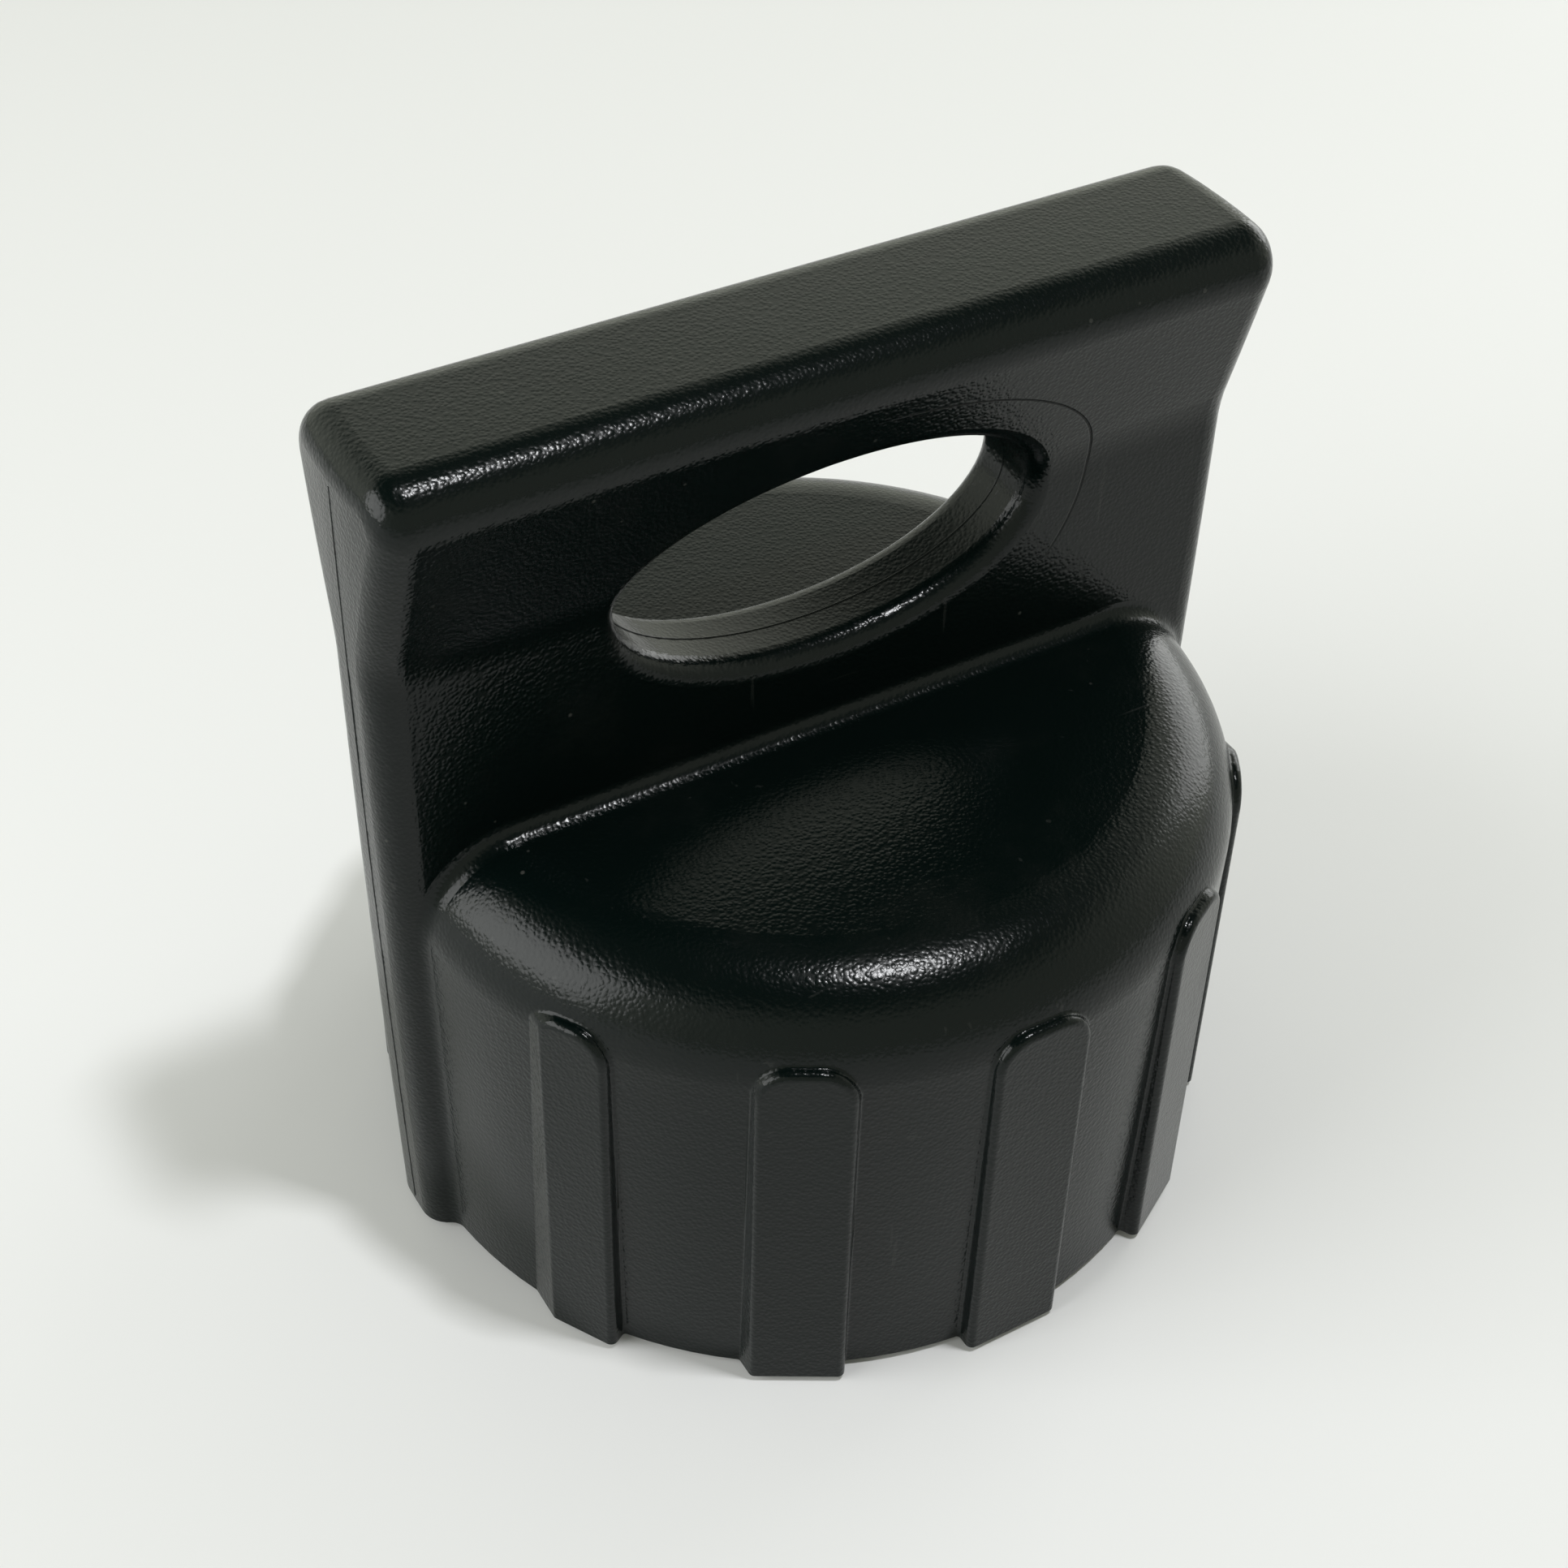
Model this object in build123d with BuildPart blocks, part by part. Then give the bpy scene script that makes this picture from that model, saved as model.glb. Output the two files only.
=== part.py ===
from build123d import *
import math
import os

os.makedirs("parts", exist_ok=True)

# ---------------------------------------------------------------------------
# Driving dimensions, in millimetres. The origin is on the floor, under the
# centre of the body. +Z is up, and the handle plate lies along X.
# ---------------------------------------------------------------------------

# moulded shell: heights
RIM_Z = 1.5                       # open bottom rim, held off the floor by the pad
TOP_Z = 196.7                     # flat top of the handle bar
BODY_TOP_Z = 106.1                # flat top of the round body
WALL = 3.5                        # moulded wall thickness

# moulded shell: round body
BODY_RIM_R = 88.2                 # wall radius at the rim
BODY_SHOULDER_R = 90.0            # wall radius at the foot of the shoulder
SHOULDER_ROUND = 20.0             # big outside round between wall and top

# moulded shell: grip ribs
RIB_HALF_WIDTH = 10.7
RIB_FACE_R = 91.6                 # flat outer face, from the body axis
RIB_TOP_Z = 91.4
RIB_CORNER_R = 7.5                # rounded upper corners
RIB_EDGE_R = 1.5                  # rounds along the face
RIB_FOOT_R = 0.8                  # fillets at the foot

# moulded shell: handle plate
HANDLE_HALF = 95.3                # half length at the fullest height of its ends
HANDLE_FULL_Z = 157.0             # the height where the ends are fullest
HANDLE_RIM_DROP = 2.1             # how much shorter each end is at the rim
END_BOW_R = 127.0                 # plan radius of the slightly bowed ends
BAR_HALF_Y = 23.1                 # half thickness at the top of the bar, to the sharp corner
NECK_HALF_Y = 10.2                # half thickness where the bar starts to flare
END_HALF_Y = 10.0                 # half thickness at the rim
NECK_Z = 152.2
NECK_ROUND = 30.0                 # soft concave bend under the bar
TOP_ROUND = 9.0                   # round along the bar's two long top edges
END_ROUND = 6.6                   # round right round each end face
JUNCTION_R = 3.6                  # concave fillet between plate and body

# grip hole
GRIP_Z = 148.9
GRIP_HALF_X = 45.8
GRIP_HALF_Z = 23.1
GRIP_ROUND = 4.4

# base closure
CLOSURE_GAP = 0.4                 # clearance between the base plate and the shell
PLATE_BOTTOM_Z = 2.8
PLATE_TOP_Z = 7.6
GASKET_TOP_Z = 9.4
GASKET_INNER_R = 78.0

# floor pad
PAD_INNER_R = 62.0
PAD_OUTER_R = 78.0
PAD_TOP_Z = 4.0                   # the pad sits in a groove of the base plate
PAD_EDGE = 0.8
TREAD_DEPTH = 0.9
TREAD_WIDTH = 1.6
TREAD_RADII = (66.2, 73.8)

# base screws and the anchors cast into the filling
SCREW_COUNT = 4
SCREW_CIRCLE_R = 44.0
SCREW_R = 2.5
SCREW_HEAD_R = 4.6
SCREW_HEAD_Z = 3.0                # outer face of the head
SCREW_SEAT_Z = 5.4                # face the head bears on
SCREW_TIP_Z = 23.4
SCREW_CLEAR_R = 2.8
COUNTERBORE_R = 5.4
CROSS_WIDTH = 1.1
CROSS_LENGTH = 5.2
CROSS_DEPTH = 1.4
ANCHOR_FLATS_R = 5.2              # corner radius of the hexagon
ANCHOR_TOP_Z = 27.6
ANCHOR_COLLAR_R = 6.6
ANCHOR_COLLAR_H = 3.0
ANCHOR_BORE_Z = 25.0

# steel hoop inside the handle
ROD_R = 4.0
ROD_LEG_X = 70.0
ROD_TOP_Z = 183.8
ROD_BEND_R = 16.0
ROD_FOOT_Z = 30.0
ROD_FOOT_X = 38.0


# ---------------------------------------------------------------------------
# Shared shapes: the outer skin uses an inset of 0, the cavity the wall
# ---------------------------------------------------------------------------
def end_x(z):
    """Half length of the handle plate at a height, in its middle plane."""
    fall = (z - HANDLE_FULL_Z) / (RIM_Z - HANDLE_FULL_Z)
    return HANDLE_HALF - HANDLE_RIM_DROP * fall**2


def handle_blank(inset):
    """Upright plate with its thick flared bar, without the grip hole. Its ends
    are bowed both ways: turned about an upright axis far inside the plate."""
    with BuildPart() as blank:
        with BuildSketch(Plane.YZ):
            with BuildLine():
                Polyline(
                    (0, RIM_Z),
                    (END_HALF_Y - inset, RIM_Z),
                    (NECK_HALF_Y - inset, NECK_Z),
                    (BAR_HALF_Y - inset, TOP_Z - inset),
                    (0, TOP_Z - inset),
                    close=True,
                )
            make_face()
            side = vertices().filter_by(lambda v: v.X > 1)
            fillet(side.filter_by(lambda v: abs(v.Y - NECK_Z) < 0.1), NECK_ROUND)
            side = vertices().filter_by(lambda v: v.X > 1)
            fillet(side.sort_by(Axis.Y)[-1], TOP_ROUND - inset)
            mirror(about=Plane.YZ)
        extrude(amount=HANDLE_HALF + 5, both=True)
        for side in (1, -1):
            axis_x = side * (HANDLE_HALF - END_BOW_R)
            with BuildSketch(Plane.XZ):
                with BuildLine():
                    low, middle, high = RIM_Z - 5, (RIM_Z + TOP_Z) / 2, TOP_Z + 5
                    ThreePointArc(
                        (side * (end_x(low) - inset), low),
                        (side * (end_x(middle) - inset), middle),
                        (side * (end_x(high) - inset), high),
                    )
                    Polyline(
                        (side * (end_x(high) - inset), high),
                        (axis_x, high),
                        (axis_x, low),
                        (side * (end_x(low) - inset), low),
                    )
                make_face()
            revolve(axis=Axis((axis_x, 0, 0), (0, 0, 1)), mode=Mode.INTERSECT)
        outlines = edges().filter_by(lambda e: abs((e @ 0.5).X) > HANDLE_HALF - 8)
        outlines = outlines.filter_by(lambda e: (e @ 0.5).Z > RIM_Z + 0.1)
        outlines = outlines.filter_by(lambda e: e.bounding_box().size.X < 8)
        fillet(outlines, END_ROUND - inset)
    return blank.part


def body_blank(inset):
    """Round body with its shoulder, turned about the upright axis."""
    with BuildPart() as blank:
        with BuildSketch(Plane.XZ):
            with BuildLine():
                top = BODY_TOP_Z - inset
                round_r = SHOULDER_ROUND - inset
                wall_r = BODY_SHOULDER_R - inset
                Polyline(
                    (wall_r - round_r, top),
                    (0, top),
                    (0, RIM_Z),
                    (BODY_RIM_R - inset, RIM_Z),
                    (wall_r, top - round_r),
                )
                RadiusArc((wall_r, top - round_r), (wall_r - round_r, top), -round_r)
            make_face()
        revolve(axis=Axis.Z)
    return blank.part


def grip_cutter(grow):
    """Oval prism through the handle; grown, it is the tube round the hole."""
    with BuildPart() as cutter:
        with BuildSketch(Plane.XZ):
            with Locations((0, GRIP_Z)):
                Ellipse(GRIP_HALF_X + grow, GRIP_HALF_Z + grow)
        extrude(amount=BAR_HALF_Y + 10, both=True)
    return cutter.part


def rib_blank(angle):
    """One grip rib. Its flank on the plate's end side runs along the mould's
    opening direction, so that the two mould halves can pull straight off."""
    turn = math.radians(angle)
    side = 1 if math.cos(turn) > 0 else -1
    side_t = side if math.sin(turn) < 0 else -side
    root_x = 0.993 * BODY_RIM_R * math.cos(turn)
    near_x = root_x + side * RIB_HALF_WIDTH * abs(math.sin(turn))
    far_x = root_x - side * 40
    start_r = BODY_RIM_R - 8
    face_plane = Plane(
        origin=(0, 0, 0),
        x_dir=(-math.sin(turn), math.cos(turn), 0),
        z_dir=(math.cos(turn), math.sin(turn), 0),
    )
    with BuildPart() as rib:
        with BuildSketch(face_plane.offset(start_r)):
            with BuildLine():
                Polyline(
                    (side_t * (RIB_HALF_WIDTH + 12), RIM_Z),
                    (side_t * (RIB_HALF_WIDTH + 12), RIB_TOP_Z),
                    (-side_t * RIB_HALF_WIDTH, RIB_TOP_Z),
                    (-side_t * RIB_HALF_WIDTH, RIM_Z),
                    close=True,
                )
            make_face()
            far_corner = vertices().sort_by(Axis.Y)[-2:].sort_by(Axis.X)[0 if side_t > 0 else -1]
            fillet(far_corner, RIB_CORNER_R)
        extrude(amount=RIB_FACE_R - start_r)
        with BuildSketch(Plane.XZ):
            with BuildLine():
                Polyline(
                    (near_x, RIM_Z),
                    (near_x, RIB_TOP_Z),
                    (far_x, RIB_TOP_Z),
                    (far_x, RIM_Z),
                    close=True,
                )
            make_face()
            near_corner = vertices().sort_by(Axis.Y)[-2:].sort_by(Axis.X)[-1 if side > 0 else 0]
            fillet(near_corner, RIB_CORNER_R * abs(math.sin(turn)))
        extrude(amount=120, both=True, mode=Mode.INTERSECT)
    return rib.part


RIB_ANGLES = [angle for angle in range(-150, 180, 30) if angle % 180 != 0]


def cavity_blank():
    """Space inside the shell: body and handle, with the tube round the hole left out."""
    with BuildPart() as cavity:
        add(handle_blank(WALL))
        add(grip_cutter(WALL), mode=Mode.SUBTRACT)
        add(body_blank(WALL))
    return cavity.part


def closure_sketch(gap, height):
    """Outline of the open bottom: a disc with a tab under each end of the plate."""
    with BuildSketch(Plane.XY.offset(height)) as outline:
        Circle(BODY_RIM_R - WALL - gap)
        tab_x = end_x(RIM_Z) - WALL - gap - 0.5
        tab_y = END_HALF_Y - WALL - gap
        RectangleRounded(2 * tab_x, 2 * tab_y, 2.4)
    return outline.sketch


def body_radius(z):
    """Outside radius of the round body at a height."""
    foot_z = BODY_TOP_Z - SHOULDER_ROUND
    if z > foot_z:
        across = SHOULDER_ROUND**2 - (z - foot_z) ** 2
        return BODY_SHOULDER_R - SHOULDER_ROUND + math.sqrt(max(across, 0))
    return BODY_RIM_R + (BODY_SHOULDER_R - BODY_RIM_R) * (z - RIM_Z) / (foot_z - RIM_Z)


def on_body(edge):
    """True for an edge that lies on the body's wall, shoulder or flat top."""
    middle = edge @ 0.5
    radius = math.hypot(middle.X, middle.Y)
    if abs(middle.Z - BODY_TOP_Z) < 0.01:
        return True
    if middle.Z < RIM_Z + 0.1 or middle.Z > BODY_TOP_Z:
        return False
    return abs(radius - body_radius(middle.Z)) < 0.05


def at_plate_foot(edge):
    """Where the handle plate meets the body."""
    return on_body(edge) and 5 < abs((edge @ 0.5).Y) < NECK_HALF_Y + 0.2


def at_rib_foot(edge):
    """Where a rib meets the wall."""
    middle = edge @ 0.5
    if middle.Z > RIB_TOP_Z + 0.1 or abs(middle.Y) < NECK_HALF_Y + 5:
        return False
    foot_circle = edge.geom_type == GeomType.CIRCLE and abs(middle.Z - RIB_TOP_Z) > 0.01
    return on_body(edge) and not foot_circle


def on_rib_face(edge):
    """Where a rib's flat face meets its flanks and its top."""
    points = [edge @ 0.05, edge @ 0.5, edge @ 0.95]
    if points[1].Z < RIM_Z + 0.1:
        return False
    for angle in RIB_ANGLES:
        turn = math.radians(angle)
        reach = [p.X * math.cos(turn) + p.Y * math.sin(turn) for p in points]
        if all(abs(r - RIB_FACE_R) < 0.01 for r in reach):
            return True
    return False


def at_grip_rim(edge):
    """Where the grip hole breaks through the two faces of the plate."""
    middle = edge @ 0.5
    oval = (middle.X / GRIP_HALF_X) ** 2 + ((middle.Z - GRIP_Z) / GRIP_HALF_Z) ** 2
    return abs(oval - 1) < 0.01 and abs(middle.Y) > 5


# ---------------------------------------------------------------------------
# shell: body, ribs and handle moulded in one piece, open at the bottom
# ---------------------------------------------------------------------------
with BuildPart() as shell:
    add(body_blank(0))
    for rib_angle in RIB_ANGLES:
        add(rib_blank(rib_angle))
    add(handle_blank(0))
    fillet(edges().filter_by(at_plate_foot), JUNCTION_R)
    fillet(edges().filter_by(on_rib_face), RIB_EDGE_R)
    fillet(edges().filter_by(at_rib_foot), RIB_FOOT_R)
    add(grip_cutter(0), mode=Mode.SUBTRACT)
    fillet(edges().filter_by(at_grip_rim), GRIP_ROUND)
    add(cavity_blank(), mode=Mode.SUBTRACT)
shell.part.label = "shell"
export_step(shell.part, "parts/shell.step")

# ---------------------------------------------------------------------------
# handle_rod: one bent steel bar, from the filling up through the handle
# ---------------------------------------------------------------------------
with BuildPart() as handle_rod:
    with BuildLine(Plane.XZ) as hoop:
        FilletPolyline(
            (ROD_FOOT_X, ROD_FOOT_Z),
            (ROD_LEG_X, ROD_FOOT_Z),
            (ROD_LEG_X, ROD_TOP_Z),
            (-ROD_LEG_X, ROD_TOP_Z),
            (-ROD_LEG_X, ROD_FOOT_Z),
            (-ROD_FOOT_X, ROD_FOOT_Z),
            radius=ROD_BEND_R,
        )
    with BuildSketch(Plane(origin=hoop.line @ 0, z_dir=hoop.line % 0)):
        Circle(ROD_R)
    sweep()
handle_rod.part.label = "handle_rod"
export_step(handle_rod.part, "parts/handle_rod.step")

# ---------------------------------------------------------------------------
# screw_anchors: collared hexagon nuts cast into the underside of the filling
# ---------------------------------------------------------------------------
with BuildPart() as screw_anchors:
    with BuildSketch(Plane.XY.offset(PLATE_TOP_Z)):
        with PolarLocations(SCREW_CIRCLE_R, SCREW_COUNT, start_angle=45):
            RegularPolygon(ANCHOR_FLATS_R, 6)
    extrude(amount=ANCHOR_TOP_Z - PLATE_TOP_Z)
    with BuildSketch(Plane.XY.offset(ANCHOR_TOP_Z - ANCHOR_COLLAR_H)):
        with PolarLocations(SCREW_CIRCLE_R, SCREW_COUNT, start_angle=45):
            Circle(ANCHOR_COLLAR_R)
    extrude(amount=ANCHOR_COLLAR_H)
    with BuildSketch(Plane.XY.offset(PLATE_TOP_Z)):
        with PolarLocations(SCREW_CIRCLE_R, SCREW_COUNT, start_angle=45):
            Circle(SCREW_R)
    extrude(amount=ANCHOR_BORE_Z - PLATE_TOP_Z, mode=Mode.SUBTRACT)
screw_anchors.part.label = "screw_anchors"
export_step(screw_anchors.part, "parts/screw_anchors.step")

# ---------------------------------------------------------------------------
# weight_fill: cast into the shell, round the hoop and the anchors
# ---------------------------------------------------------------------------
with BuildPart() as weight_fill:
    add(cavity_blank())
    split(bisect_by=Plane.XY.offset(PLATE_TOP_Z), keep=Keep.TOP)
    with BuildSketch(Plane.XY.offset(PLATE_TOP_Z)):
        Circle(BODY_SHOULDER_R + 10)
        Circle(GASKET_INNER_R, mode=Mode.SUBTRACT)
    extrude(amount=GASKET_TOP_Z - PLATE_TOP_Z, mode=Mode.SUBTRACT)
    add(handle_rod.part, mode=Mode.SUBTRACT)
    add(screw_anchors.part, mode=Mode.SUBTRACT)
    with BuildSketch(Plane.XY.offset(PLATE_TOP_Z)):
        with PolarLocations(SCREW_CIRCLE_R, SCREW_COUNT, start_angle=45):
            Circle(SCREW_R)
    extrude(amount=ANCHOR_BORE_Z - PLATE_TOP_Z, mode=Mode.SUBTRACT)
weight_fill.part.label = "weight_fill"
export_step(weight_fill.part, "parts/weight_fill.step")

# ---------------------------------------------------------------------------
# base_gasket: sealing ring between the base plate and the filling
# ---------------------------------------------------------------------------
with BuildPart() as base_gasket:
    add(closure_sketch(CLOSURE_GAP / 2, PLATE_TOP_Z))
    extrude(amount=GASKET_TOP_Z - PLATE_TOP_Z)
    with BuildSketch(Plane.XY.offset(PLATE_TOP_Z)):
        Circle(GASKET_INNER_R)
    extrude(amount=GASKET_TOP_Z - PLATE_TOP_Z, mode=Mode.SUBTRACT)
base_gasket.part.label = "base_gasket"
export_step(base_gasket.part, "parts/base_gasket.step")

# ---------------------------------------------------------------------------
# base_plate: closes the bottom, seats the pad and the screw heads
# ---------------------------------------------------------------------------
with BuildPart() as base_plate:
    add(closure_sketch(CLOSURE_GAP, PLATE_BOTTOM_Z))
    extrude(amount=PLATE_TOP_Z - PLATE_BOTTOM_Z)
    with BuildSketch(Plane.XY.offset(PLATE_BOTTOM_Z)):
        Circle(PAD_OUTER_R)
        Circle(PAD_INNER_R, mode=Mode.SUBTRACT)
    extrude(amount=PAD_TOP_Z - PLATE_BOTTOM_Z, mode=Mode.SUBTRACT)
    with BuildSketch(Plane.XY.offset(PLATE_BOTTOM_Z)):
        with PolarLocations(SCREW_CIRCLE_R, SCREW_COUNT, start_angle=45):
            Circle(COUNTERBORE_R)
    extrude(amount=SCREW_SEAT_Z - PLATE_BOTTOM_Z, mode=Mode.SUBTRACT)
    with BuildSketch(Plane.XY.offset(PLATE_BOTTOM_Z)):
        with PolarLocations(SCREW_CIRCLE_R, SCREW_COUNT, start_angle=45):
            Circle(SCREW_CLEAR_R)
    extrude(amount=PLATE_TOP_Z - PLATE_BOTTOM_Z, mode=Mode.SUBTRACT)
base_plate.part.label = "base_plate"
export_step(base_plate.part, "parts/base_plate.step")

# ---------------------------------------------------------------------------
# base_screws: cross-recessed pan-head screws
# ---------------------------------------------------------------------------
with BuildPart() as base_screws:
    with BuildSketch(Plane.XY.offset(SCREW_HEAD_Z)):
        with PolarLocations(SCREW_CIRCLE_R, SCREW_COUNT, start_angle=45):
            Circle(SCREW_HEAD_R)
    extrude(amount=SCREW_SEAT_Z - SCREW_HEAD_Z)
    fillet(edges().group_by(Axis.Z)[0], 1.2)
    with BuildSketch(Plane.XY.offset(SCREW_SEAT_Z)):
        with PolarLocations(SCREW_CIRCLE_R, SCREW_COUNT, start_angle=45):
            Circle(SCREW_R)
    extrude(amount=SCREW_TIP_Z - SCREW_SEAT_Z)
    chamfer(edges().group_by(Axis.Z)[-1], 0.8)
    with BuildSketch(Plane.XY.offset(SCREW_HEAD_Z)):
        with PolarLocations(SCREW_CIRCLE_R, SCREW_COUNT, start_angle=45):
            Rectangle(CROSS_LENGTH, CROSS_WIDTH)
            Rectangle(CROSS_WIDTH, CROSS_LENGTH)
    extrude(amount=CROSS_DEPTH, mode=Mode.SUBTRACT)
base_screws.part.label = "base_screws"
export_step(base_screws.part, "parts/base_screws.step")

# ---------------------------------------------------------------------------
# floor_pad: grooved rubber ring that the object stands on
# ---------------------------------------------------------------------------
with BuildPart() as floor_pad:
    with BuildSketch(Plane.XY):
        Circle(PAD_OUTER_R)
        Circle(PAD_INNER_R, mode=Mode.SUBTRACT)
    extrude(amount=PAD_TOP_Z)
    fillet(faces().sort_by(Axis.Z)[0].edges(), PAD_EDGE)
    for tread_r in TREAD_RADII:
        with BuildSketch(Plane.XY):
            Circle(tread_r + TREAD_WIDTH / 2)
            Circle(tread_r - TREAD_WIDTH / 2, mode=Mode.SUBTRACT)
        extrude(amount=TREAD_DEPTH, mode=Mode.SUBTRACT)
floor_pad.part.label = "floor_pad"
export_step(floor_pad.part, "parts/floor_pad.step")
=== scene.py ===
import math
import bpy
from mathutils import Matrix, Vector


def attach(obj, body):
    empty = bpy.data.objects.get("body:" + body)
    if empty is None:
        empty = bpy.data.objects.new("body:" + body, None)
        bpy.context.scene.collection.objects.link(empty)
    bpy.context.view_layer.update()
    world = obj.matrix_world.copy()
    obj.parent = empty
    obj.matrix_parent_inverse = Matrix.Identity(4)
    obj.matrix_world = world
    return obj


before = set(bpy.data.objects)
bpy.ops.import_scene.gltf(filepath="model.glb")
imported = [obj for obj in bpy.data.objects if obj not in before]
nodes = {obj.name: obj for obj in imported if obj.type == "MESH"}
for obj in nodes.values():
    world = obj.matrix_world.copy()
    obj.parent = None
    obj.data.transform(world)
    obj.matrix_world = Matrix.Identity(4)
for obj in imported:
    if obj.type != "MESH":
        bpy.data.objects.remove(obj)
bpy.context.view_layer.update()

MM = 0.001

# ---------------------------------------------------------------------------
# measures shared with the part, in millimetres
# ---------------------------------------------------------------------------
GRIP_Z, GRIP_X, GRIP_H = 148.9, 45.8, 23.1
END_FULL_X, END_FULL_Z, END_FALL, END_RIM_Z = 95.3, 157.0, 2.1, 1.5
END_LOW_Z, END_HIGH_Z = 3.0, 189.0
WITNESS_Z, WITNESS_X, WITNESS_UP, WITNESS_LOW = 152.0, 58.9, 29.5, 45.0

# mould parting line, in millimetres: radius of the bead and how far it is sunk on the plate's ends,
# then the sides of the tube and its steps round the hole and down an end
BEAD_R, BEAD_SINK = 0.22, 0.1
BEAD_SIDES, RING_STEPS, END_STEPS = 10, 240, 60

# studio, in metres: half size of the floor, the colour of the lamps and the point they look at
FLOOR_HALF = 6.0
DAYLIGHT = (0.97, 0.98, 1.0)
LOOK_AT = (0, 0, 0.1)


# ---------------------------------------------------------------------------
# small helpers for node materials
# ---------------------------------------------------------------------------
class Net:
    def __init__(self, name):
        self.mat = bpy.data.materials.new(name)
        self.mat.use_nodes = True
        self.tree = self.mat.node_tree
        self.tree.nodes.clear()
        self.out = self.new("ShaderNodeOutputMaterial")
        self.bsdf = self.new("ShaderNodeBsdfPrincipled")
        self.link(self.bsdf.outputs["BSDF"], self.out.inputs["Surface"])
        self.pos = self.new("ShaderNodeTexCoord").outputs["Object"]

    def new(self, kind, **props):
        node = self.tree.nodes.new(kind)
        for key, value in props.items():
            setattr(node, key, value)
        return node

    def link(self, a, b):
        self.tree.links.new(a, b)

    def put(self, socket, value):
        if isinstance(value, bpy.types.NodeSocket):
            self.link(value, socket)
        else:
            socket.default_value = value

    def math(self, op, a, b=0.0, clamp=False):
        node = self.new("ShaderNodeMath", operation=op, use_clamp=clamp)
        self.put(node.inputs[0], a)
        self.put(node.inputs[1], b)
        return node.outputs[0]

    def ramp(self, value, lo, hi, out_lo=0.0, out_hi=1.0):
        node = self.new("ShaderNodeMapRange", interpolation_type="SMOOTHSTEP")
        for name, v in (("Value", value), ("From Min", lo), ("From Max", hi),
                        ("To Min", out_lo), ("To Max", out_hi)):
            self.put(node.inputs[name], v)
        return node.outputs["Result"]

    def noise(self, scale, detail=2.0, rough=0.5, vec=None):
        node = self.new("ShaderNodeTexNoise")
        self.link(vec or self.pos, node.inputs["Vector"])
        node.inputs["Scale"].default_value = scale
        node.inputs["Detail"].default_value = detail
        node.inputs["Roughness"].default_value = rough
        return node.outputs["Fac"]

    def cells(self, scale, feature="F1", vec=None, smooth=0.3):
        node = self.new("ShaderNodeTexVoronoi", feature=feature)
        self.link(vec or self.pos, node.inputs["Vector"])
        node.inputs["Scale"].default_value = scale
        if feature == "SMOOTH_F1":
            node.inputs["Smoothness"].default_value = smooth
        return node.outputs["Distance"]

    def stretch(self, factors, turn=(0, 0, 0)):
        node = self.new("ShaderNodeMapping")
        self.link(self.pos, node.inputs["Vector"])
        node.inputs["Rotation"].default_value = turn
        node.inputs["Scale"].default_value = factors
        return node.outputs[0]

    def mix(self, fac, a, b):
        node = self.new("ShaderNodeMix", data_type="RGBA")
        self.put(node.inputs["Factor"], fac)
        self.put(node.inputs["A"], a)
        self.put(node.inputs["B"], b)
        return node.outputs["Result"]

    def bump(self, height, distance, strength=1.0, normal=None):
        node = self.new("ShaderNodeBump")
        node.inputs["Strength"].default_value = strength
        node.inputs["Distance"].default_value = distance
        self.link(height, node.inputs["Height"])
        if normal is not None:
            self.link(normal, node.inputs["Normal"])
        return node.outputs["Normal"]

    def wire(self, **sockets):
        for key, value in sockets.items():
            self.put(self.bsdf.inputs[key.replace("_", " ")], value)
        return self.mat


def rgb(r, g, b):
    return (r, g, b, 1.0)


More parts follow.
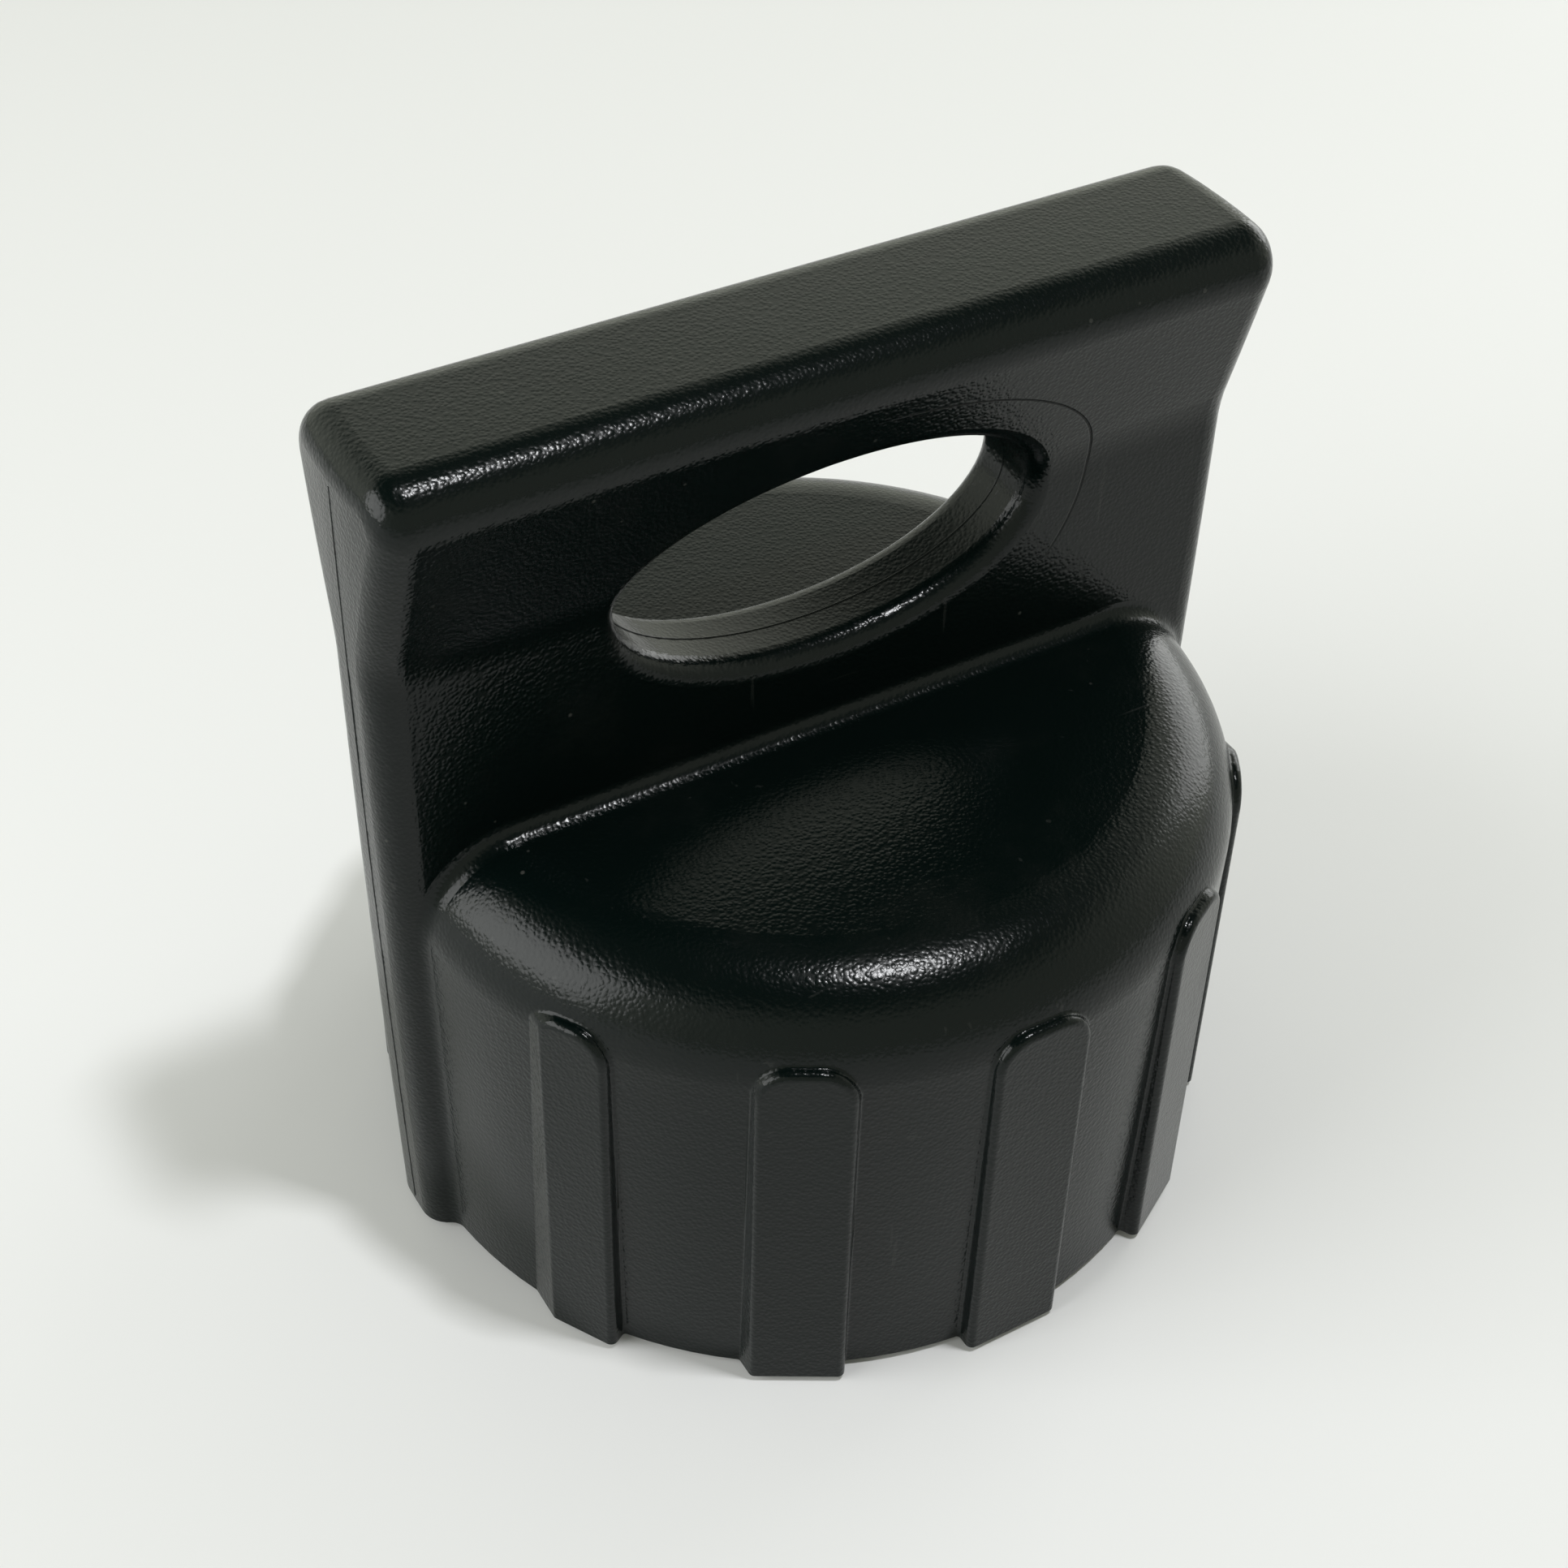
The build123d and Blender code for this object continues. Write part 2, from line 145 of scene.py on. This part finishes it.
def grained_plastic(name, dark, light, grain_mm, grain_depth_mm, rough):
    """Satin moulded plastic with a fine leather grain, a faint line by the grip, rubbed patches and scuffs."""
    n = Net(name)
    at = n.new("ShaderNodeSeparateXYZ")
    n.link(n.pos, at.inputs[0])
    x, y, z = at.outputs

    # leather grain: small domes with uneven outlines, over a very shallow waviness
    warp = n.new("ShaderNodeVectorMath", operation="ADD")
    wobble = n.new("ShaderNodeTexNoise")
    n.link(n.pos, wobble.inputs["Vector"])
    wobble.inputs["Scale"].default_value = 700
    shift = n.new("ShaderNodeVectorMath", operation="SCALE")
    n.link(wobble.outputs["Color"], shift.inputs[0])
    shift.inputs["Scale"].default_value = 0.0005
    n.link(n.pos, warp.inputs[0])
    n.link(shift.outputs[0], warp.inputs[1])
    cell = n.cells(1000 / grain_mm, "SMOOTH_F1", vec=warp.outputs[0], smooth=0.3)
    crease = n.ramp(cell, 0.1, 0.8, 1.0, 0.0)
    fine = n.noise(2600, 2.0, 0.5)
    height = n.math("ADD", crease, n.math("MULTIPLY", fine, 0.3))
    grain = n.bump(height, grain_depth_mm * MM, 1.0)
    waves = n.noise(26, 2.0, 0.5)
    wavy = n.bump(waves, 0.0003, 0.5, grain)

    # faint witness line beside the grip on the two faces of the plate
    beside = n.math("ABSOLUTE", y)
    up = n.math("SUBTRACT", z, WITNESS_Z * MM)
    above = n.math("GREATER_THAN", up, 0.0)
    half_z = n.math("ADD", WITNESS_LOW * MM, n.math("MULTIPLY", above, (WITNESS_UP - WITNESS_LOW) * MM))
    qx = n.math("DIVIDE", x, WITNESS_X * MM)
    qz = n.math("DIVIDE", up, half_z)
    oval = n.math("SQRT", n.math("ADD", n.math("MULTIPLY", qx, qx), n.math("MULTIPLY", qz, qz)))
    off = n.math("ABSOLUTE", n.math("SUBTRACT", oval, 1.0))
    line = n.ramp(off, 0.002, 0.008, 1.0, 0.0)
    line = n.math("MULTIPLY", line, n.ramp(z, 0.126, 0.136))
    line = n.math("MULTIPLY", line, n.ramp(x, 0.0, 0.02))
    line = n.math("MULTIPLY", line, n.math("GREATER_THAN", beside, 0.006))
    marked = n.bump(n.math("SUBTRACT", 1.0, line), 0.00010, 1.0, wavy)

    # broken dark marks along the parting line on the plate's ends
    broken = n.ramp(n.noise(120, 2.0, 0.5, n.stretch((0.1, 0.1, 1.0))), 0.5, 0.56)
    end_only = n.math("GREATER_THAN", n.math("ABSOLUTE", x), 0.088)
    at_seam = n.ramp(beside, 0.00012, 0.00035, 1.0, 0.0)
    seam_dark = n.math("MULTIPLY", at_seam, n.math("MULTIPLY", broken, end_only))
    line = n.math("MAXIMUM", line, seam_dark)

    # wear: clouds, rubbed patches, scratches and specks of dust
    cloud = n.noise(9, 4.0, 0.6)
    rub = n.ramp(n.noise(38, 5.0, 0.65), 0.5, 0.78)
    scratch_a = n.ramp(n.noise(60, 2.0, 0.5, n.stretch((0.25, 6.0, 6.0), (0.2, 0.1, 0.5))), 0.72, 0.76)
    scratch_b = n.ramp(n.noise(60, 2.0, 0.5, n.stretch((6.0, 5.0, 0.3), (0.1, 0.25, 0.9))), 0.73, 0.77)
    scratch = n.math("MAXIMUM", scratch_a, scratch_b)
    speck_cell = n.cells(120, "F1")
    speck_on = n.ramp(n.noise(11, 1.0, 0.5), 0.5, 0.62)
    speck = n.math("MULTIPLY", n.ramp(speck_cell, 0.035, 0.07, 1.0, 0.0), speck_on)

    base = n.mix(cloud, dark, light)
    base = n.mix(n.math("MULTIPLY", rub, 0.3), base, rgb(0.008, 0.009, 0.008))
    base = n.mix(n.math("MULTIPLY", scratch, 0.3), base, rgb(0.03, 0.032, 0.03))
    base = n.mix(n.math("MULTIPLY", speck, 0.3), base, rgb(0.10, 0.10, 0.09))
    base = n.mix(n.math("MULTIPLY", line, 0.8), base, rgb(0.0004, 0.0008, 0.0008))
    roughness = n.math("ADD", n.math("MULTIPLY", cloud, 0.08), rough - 0.04)
    roughness = n.math("ADD", roughness, n.math("MULTIPLY", rub, 0.05))
    roughness = n.math("ADD", roughness, n.math("MULTIPLY", line, 0.35))
    roughness = n.math("ADD", roughness, n.math("MULTIPLY", speck, 0.3), clamp=True)
    n.bsdf.inputs["Specular IOR Level"].default_value = 0.24
    return n.wire(Base_Color=base, Roughness=roughness, Normal=marked)


def smooth_plastic(name, dark, light, rough):
    n = Net(name)
    cloud = n.noise(14, 4.0, 0.6)
    fine = n.noise(1500, 2.0, 0.5)
    flow = n.noise(30, 3.0, 0.5, n.stretch((1.0, 1.0, 8.0)))
    base = n.mix(cloud, dark, light)
    roughness = n.math("ADD", n.math("MULTIPLY", flow, 0.15), rough - 0.07)
    return n.wire(Base_Color=base, Roughness=roughness, Normal=n.bump(fine, 0.00003, 0.6))


def rubber(name, dark, light):
    n = Net(name)
    cloud = n.noise(40, 5.0, 0.65)
    pits = n.noise(1800, 3.0, 0.6)
    dust = n.ramp(n.noise(160, 4.0, 0.7), 0.52, 0.8)
    base = n.mix(cloud, dark, light)
    base = n.mix(n.math("MULTIPLY", dust, 0.3), base, rgb(0.12, 0.115, 0.105))
    roughness = n.ramp(cloud, 0.2, 0.8, 0.62, 0.85)
    return n.wire(Base_Color=base, Roughness=roughness, Normal=n.bump(pits, 0.00006, 0.7))


def drawn_steel(name, dark, light, rough):
    n = Net(name)
    draw = n.noise(300, 4.0, 0.6, n.stretch((1.0, 1.0, 0.05)))
    stain = n.noise(25, 4.0, 0.6)
    base = n.mix(stain, dark, light)
    roughness = n.math("ADD", n.math("MULTIPLY", draw, 0.2), rough - 0.1)
    n.bsdf.inputs["Metallic"].default_value = 1.0
    return n.wire(Base_Color=base, Roughness=roughness, Normal=n.bump(draw, 0.00002, 0.6))


def cast_fill(name):
    n = Net(name)
    grit = n.cells(450, "F1")
    cloud = n.noise(60, 5.0, 0.65)
    base = n.mix(cloud, rgb(0.16, 0.145, 0.13), rgb(0.36, 0.34, 0.31))
    base = n.mix(n.ramp(grit, 0.1, 0.5, 0.6, 0.0), base, rgb(0.1, 0.085, 0.075))
    height = n.math("ADD", n.noise(500, 5.0, 0.7), n.math("MULTIPLY", grit, 0.5))
    return n.wire(Base_Color=base, Roughness=n.ramp(cloud, 0.2, 0.8, 0.75, 0.95),
                  Normal=n.bump(height, 0.0005, 0.8))


black = grained_plastic("shell_grain", rgb(0.0006, 0.0026, 0.0024), rgb(0.0014, 0.0040, 0.0034),
                        grain_mm=0.9, grain_depth_mm=0.036, rough=0.20)
looks = {
    "shell": black,
    "weight_fill": cast_fill("fill_cast"),
    "handle_rod": drawn_steel("rod_steel", rgb(0.30, 0.29, 0.28), rgb(0.52, 0.51, 0.50), 0.40),
    "screw_anchors": drawn_steel("anchor_brass", rgb(0.55, 0.38, 0.15), rgb(0.75, 0.58, 0.28), 0.35),
    "base_plate": smooth_plastic("base_plastic", rgb(0.015, 0.017, 0.017), rgb(0.028, 0.03, 0.029), 0.5),
    "base_gasket": rubber("gasket_rubber", rgb(0.02, 0.02, 0.02), rgb(0.04, 0.04, 0.038)),
    "base_screws": drawn_steel("screw_steel", rgb(0.48, 0.48, 0.47), rgb(0.68, 0.68, 0.66), 0.32),
    "floor_pad": rubber("pad_rubber", rgb(0.014, 0.014, 0.014), rgb(0.03, 0.03, 0.029)),
}
for node_name, material in looks.items():
    mesh = nodes[node_name].data
    mesh.materials.clear()
    mesh.materials.append(material)


# ---------------------------------------------------------------------------
# mould parting line: a low bead in the middle plane, round the hole and down both ends
# ---------------------------------------------------------------------------
def bead(name, points, radius, closed):
    """Thin tube along points in the middle plane, sunk into the shell so that only its crest stands out."""
    count = len(points)
    verts = []
    for i, point in enumerate(points):
        before = points[i - 1] if closed or i > 0 else point
        after = points[(i + 1) % count] if closed or i < count - 1 else point
        along = (Vector(after) - Vector(before)).normalized()
        across = Vector((0, 1, 0))
        out = along.cross(across)
        for k in range(BEAD_SIDES):
            angle = 2 * math.pi * k / BEAD_SIDES
            verts.append(Vector(point) + radius * (math.cos(angle) * across + math.sin(angle) * out))
    faces = []
    for i in range(count if closed else count - 1):
        for k in range(BEAD_SIDES):
            a, b = i * BEAD_SIDES, (i + 1) % count * BEAD_SIDES
            j = (k + 1) % BEAD_SIDES
            faces.append((a + k, a + j, b + j, b + k))
    if not closed:
        faces.append(tuple(range(BEAD_SIDES)))
        faces.append(tuple(reversed(range((count - 1) * BEAD_SIDES, count * BEAD_SIDES))))
    mesh = bpy.data.meshes.new(name)
    mesh.from_pydata([MM * v for v in verts], [], faces)
    mesh.polygons.foreach_set("use_smooth", [True] * len(faces))
    mesh.materials.append(black)
    obj = bpy.data.objects.new(name, mesh)
    bpy.context.scene.collection.objects.link(obj)
    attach(obj, "root")


def end_x(z):
    """Half length of the handle plate at a height, in its middle plane."""
    return END_FULL_X - END_FALL * ((z - END_FULL_Z) / (END_RIM_Z - END_FULL_Z)) ** 2


turns = [2 * math.pi * i / RING_STEPS for i in range(RING_STEPS)]
bead("seam_grip", [(GRIP_X * math.cos(t), 0, GRIP_Z + GRIP_H * math.sin(t)) for t in turns], BEAD_R, True)
heights = [END_LOW_Z + (END_HIGH_Z - END_LOW_Z) * i / END_STEPS for i in range(END_STEPS + 1)]
for side, name in ((-1, "seam_end_left"), (1, "seam_end_right")):
    bead(name, [(side * (end_x(z) - BEAD_SINK), 0, z) for z in heights], BEAD_R, False)

# ---------------------------------------------------------------------------
# camera: looks down on the front left of the body
# ---------------------------------------------------------------------------
AZ, EL, ROLL = math.radians(-31.70), math.radians(40.64), math.radians(1.866)
DISTANCE = 0.5447
AIM = Vector((-0.0007, 0.0, 0.0928))
back = Vector((math.sin(AZ) * math.cos(EL), -math.cos(AZ) * math.cos(EL), math.sin(EL)))
right = Vector((math.cos(AZ), math.sin(AZ), 0))
up = back.cross(right)
cam_x = math.cos(ROLL) * right + math.sin(ROLL) * up
cam_y = -math.sin(ROLL) * right + math.cos(ROLL) * up
cam_data = bpy.data.cameras.new("camera")
cam_data.sensor_width = 36
cam_data.lens = 60.44
cam_data.shift_x = -0.0078
cam_data.shift_y = -0.0261
cam_data.clip_start = 0.01
camera = bpy.data.objects.new("camera", cam_data)
bpy.context.scene.collection.objects.link(camera)
place = Matrix((cam_x, cam_y, back)).transposed().to_4x4()
place.translation = AIM + DISTANCE * back
camera.matrix_world = place
bpy.context.scene.camera = camera


# ---------------------------------------------------------------------------
# floor and soft studio light
# ---------------------------------------------------------------------------
def floor():
    mesh = bpy.data.meshes.new("floor")
    s = FLOOR_HALF
    mesh.from_pydata([(-s, -s, 0), (s, -s, 0), (s, s, 0), (-s, s, 0)], [], [(0, 1, 2, 3)])
    obj = bpy.data.objects.new("floor", mesh)
    bpy.context.scene.collection.objects.link(obj)
    n = Net("floor_pale")
    base = n.mix(n.noise(1.5, 2.0, 0.5), rgb(0.80, 0.80, 0.80), rgb(0.83, 0.83, 0.83))
    mesh.materials.append(n.wire(Base_Color=base, Roughness=0.7))


def area(name, at, size, power):
    """Rectangular soft light that looks at the middle of the body, in metres and watts."""
    data = bpy.data.lights.new(name, "AREA")
    data.shape = "RECTANGLE"
    data.size, data.size_y = size
    data.energy = power
    data.color = DAYLIGHT
    obj = bpy.data.objects.new(name, data)
    obj.location = at
    obj.rotation_euler = (Vector(LOOK_AT) - Vector(at)).to_track_quat("-Z", "Y").to_euler()
    bpy.context.scene.collection.objects.link(obj)


floor()
area("left_soft", (-1.6, 0.2, 0.8), (1.4, 1.2), 20)
area("top_lamp", (0.26, -0.36, 1.66), (0.15, 0.15), 12)
area("right_soft", (1.5, 0.5, 0.5), (1.0, 0.8), 7)

# pale tent behind and beside the object, darker overhead and in front
world = bpy.data.worlds.new("studio")
bpy.context.scene.world = world
world.use_nodes = True
sky = world.node_tree
direction = sky.nodes.new("ShaderNodeTexCoord")
split_dir = sky.nodes.new("ShaderNodeSeparateXYZ")
sky.links.new(direction.outputs["Generated"], split_dir.inputs[0])


def sky_ramp(value, lo, hi, out_lo, out_hi):
    """Smooth step of one component of the direction in which the sky is seen."""
    node = sky.nodes.new("ShaderNodeMapRange")
    node.interpolation_type = "SMOOTHSTEP"
    sky.links.new(value, node.inputs["Value"])
    for name, v in (("From Min", lo), ("From Max", hi), ("To Min", out_lo), ("To Max", out_hi)):
        node.inputs[name].default_value = v
    return node.outputs["Result"]


overhead = sky_ramp(split_dir.outputs["Z"], 0.48, 0.86, 1.15, 0.06)
in_front = sky_ramp(split_dir.outputs["Y"], -0.75, 0.15, 0.5, 1.0)
both = sky.nodes.new("ShaderNodeMath")
both.operation = "MULTIPLY"
sky.links.new(overhead, both.inputs[0])
sky.links.new(in_front, both.inputs[1])
sky.links.new(both.outputs[0], sky.nodes["Background"].inputs["Strength"])
sky.nodes["Background"].inputs["Color"].default_value = (0.97, 1.0, 0.86, 1.0)

bpy.context.scene.view_settings.view_transform = "Standard"
